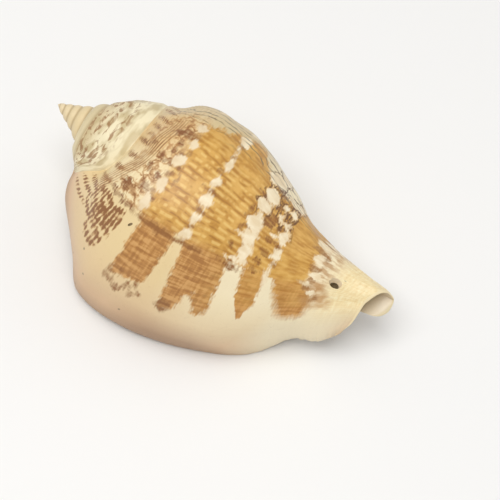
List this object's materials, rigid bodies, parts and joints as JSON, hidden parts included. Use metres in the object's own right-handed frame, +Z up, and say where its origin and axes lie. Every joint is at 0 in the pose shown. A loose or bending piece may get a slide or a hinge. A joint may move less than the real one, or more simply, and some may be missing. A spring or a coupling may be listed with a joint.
{
  "type": "dog conch shell",
  "caption": "Right-handed conch shell with a small pointed spire, a big last whorl, a flared thick lip and an open canal; cream with broken brown bands. It rests on its aperture side.",
  "frame": {"origin": "middle of the shell's bounding box at the surface it lies on", "axes": "+X runs from the apex to the canal end, -Y towards the flared lip, +Z up out of the back; the aperture faces down"},
  "size_m": [0.0604, 0.0338, 0.0264],
  "materials": {
    "shell": "satin"
  },
  "bodies": {
    "root": {"conch_shell": "shell"}
  },
  "joints": []
}
